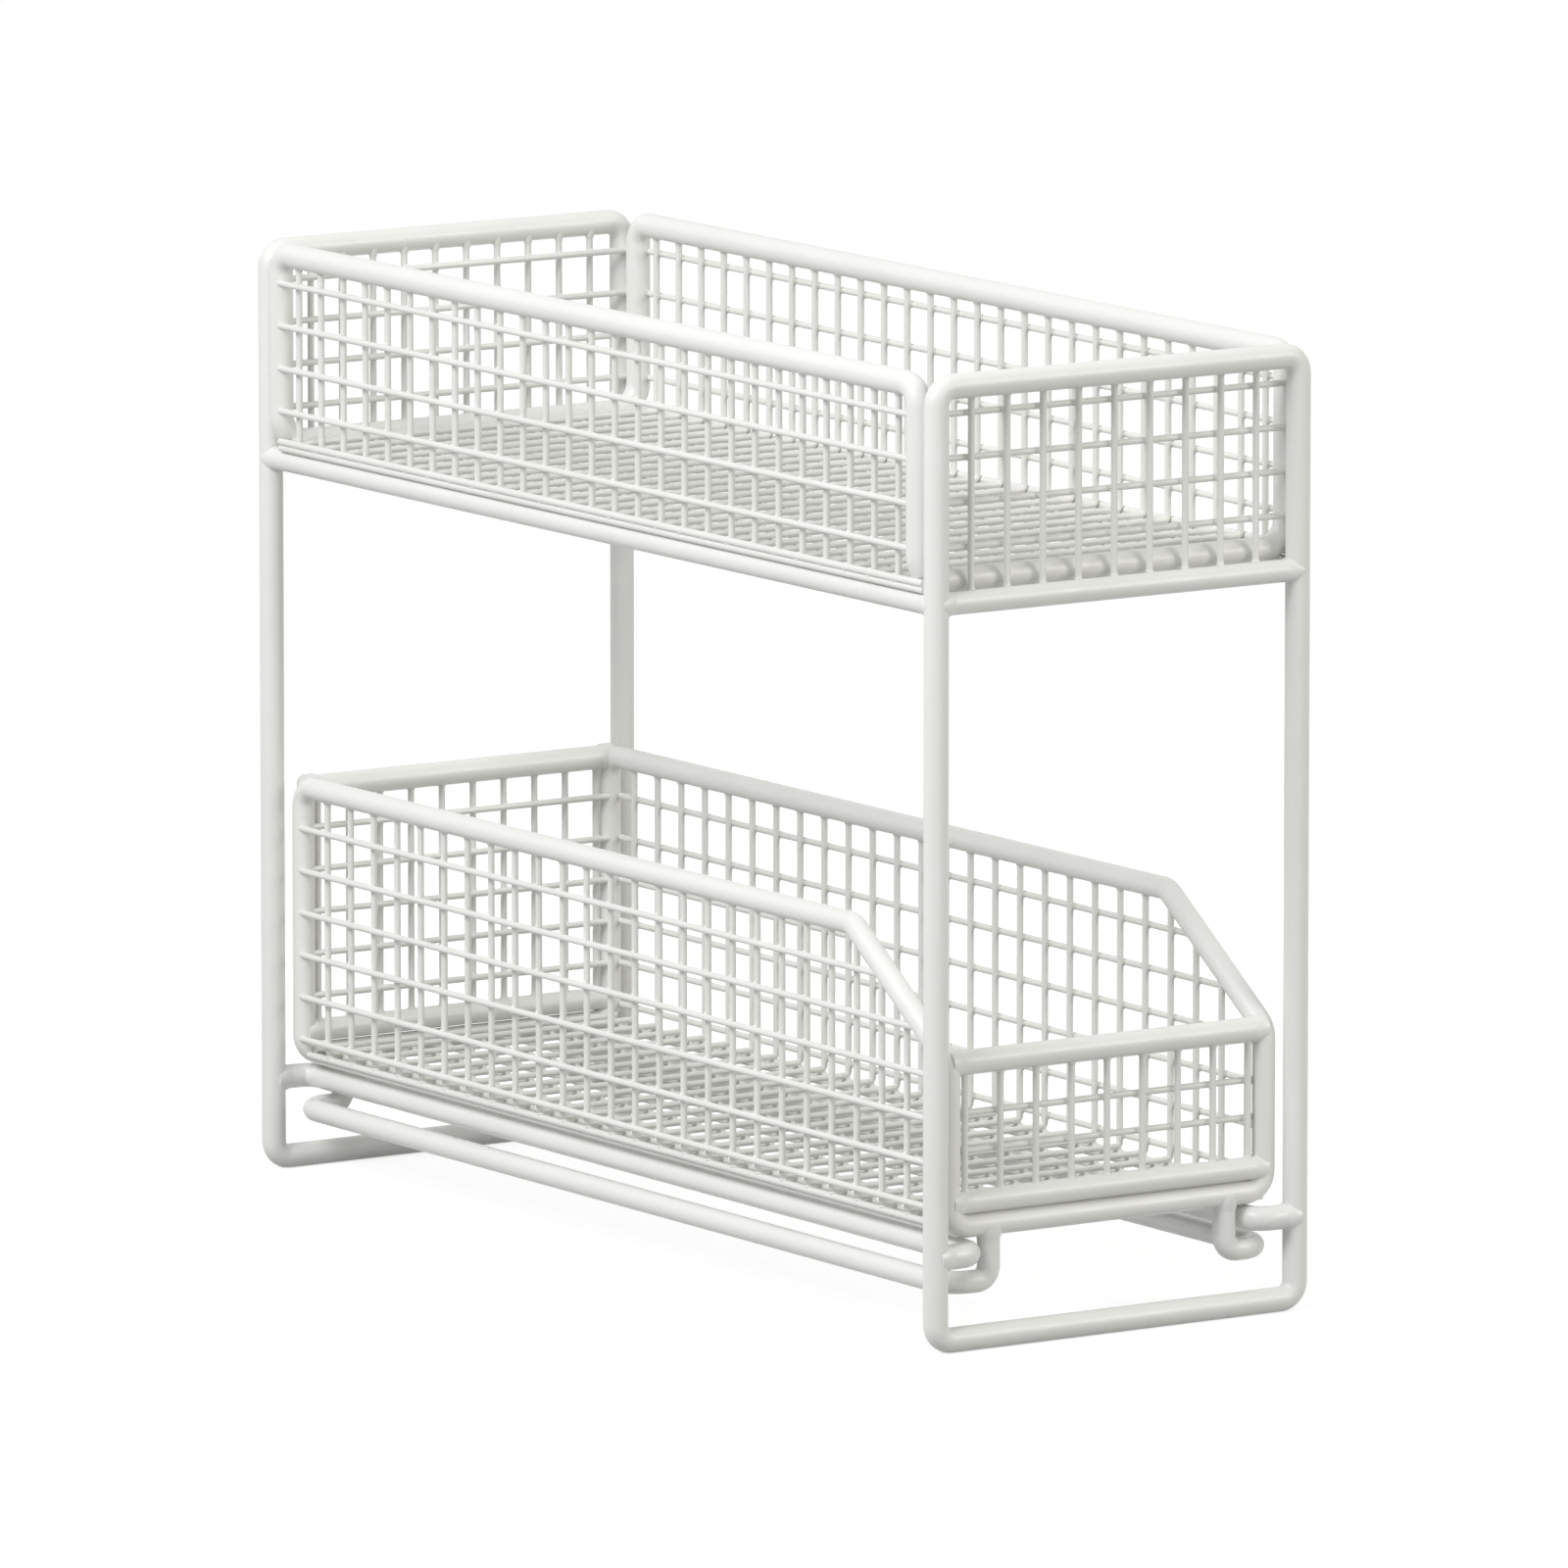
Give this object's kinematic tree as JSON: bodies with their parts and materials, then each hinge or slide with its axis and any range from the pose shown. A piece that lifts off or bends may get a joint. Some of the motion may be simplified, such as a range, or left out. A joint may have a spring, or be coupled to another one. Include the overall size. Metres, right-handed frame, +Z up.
{
  "type": "wire storage rack",
  "caption": "Narrow welded wire rack with a fixed upper basket and a lower basket that slides out on runners.",
  "frame": {"origin": "on the floor, at the middle of the footprint, under the two foot bars", "axes": "+Z up, +Y to the rear along the length, so the drawer slides out along -Y, +X across the width"},
  "size_m": [0.1364, 0.3682, 0.2861],
  "materials": {
    "frame_coat": "satin white powder coat",
    "rim_coat": "satin white powder coat",
    "mesh_coat": "satin white powder coat",
    "runner_coat": "satin white powder coat"
  },
  "bodies": {
    "frame": {"front_frame_loop": "frame_coat", "rear_frame_loop": "frame_coat", "upper_front_crossbar": "frame_coat", "upper_rear_crossbar": "frame_coat", "upper_left_side_rail": "frame_coat", "upper_right_side_rail": "frame_coat", "upper_basket_rim": "rim_coat", "upper_mesh_left": "mesh_coat", "upper_mesh_right": "mesh_coat", "upper_mesh_front": "mesh_coat", "upper_mesh_rear": "mesh_coat", "upper_mesh_floor": "mesh_coat", "left_runner": "runner_coat", "right_runner": "runner_coat"},
    "drawer": {"drawer_rim": "rim_coat", "drawer_front_top_rail": "frame_coat", "drawer_front_bottom_rail": "frame_coat", "drawer_rear_top_rail": "frame_coat", "drawer_rear_bottom_rail": "frame_coat", "drawer_mesh_left": "mesh_coat", "drawer_mesh_right": "mesh_coat", "drawer_mesh_front": "mesh_coat", "drawer_mesh_rear": "mesh_coat", "drawer_mesh_floor": "mesh_coat", "left_guide_wire": "runner_coat", "right_guide_wire": "runner_coat"}
  },
  "joints": [
    {"name": "drawer_slide", "type": "slide", "parent": "frame", "child": "drawer", "axis": [0, -1, 0], "range_m": [0, 0.24]}
  ]
}
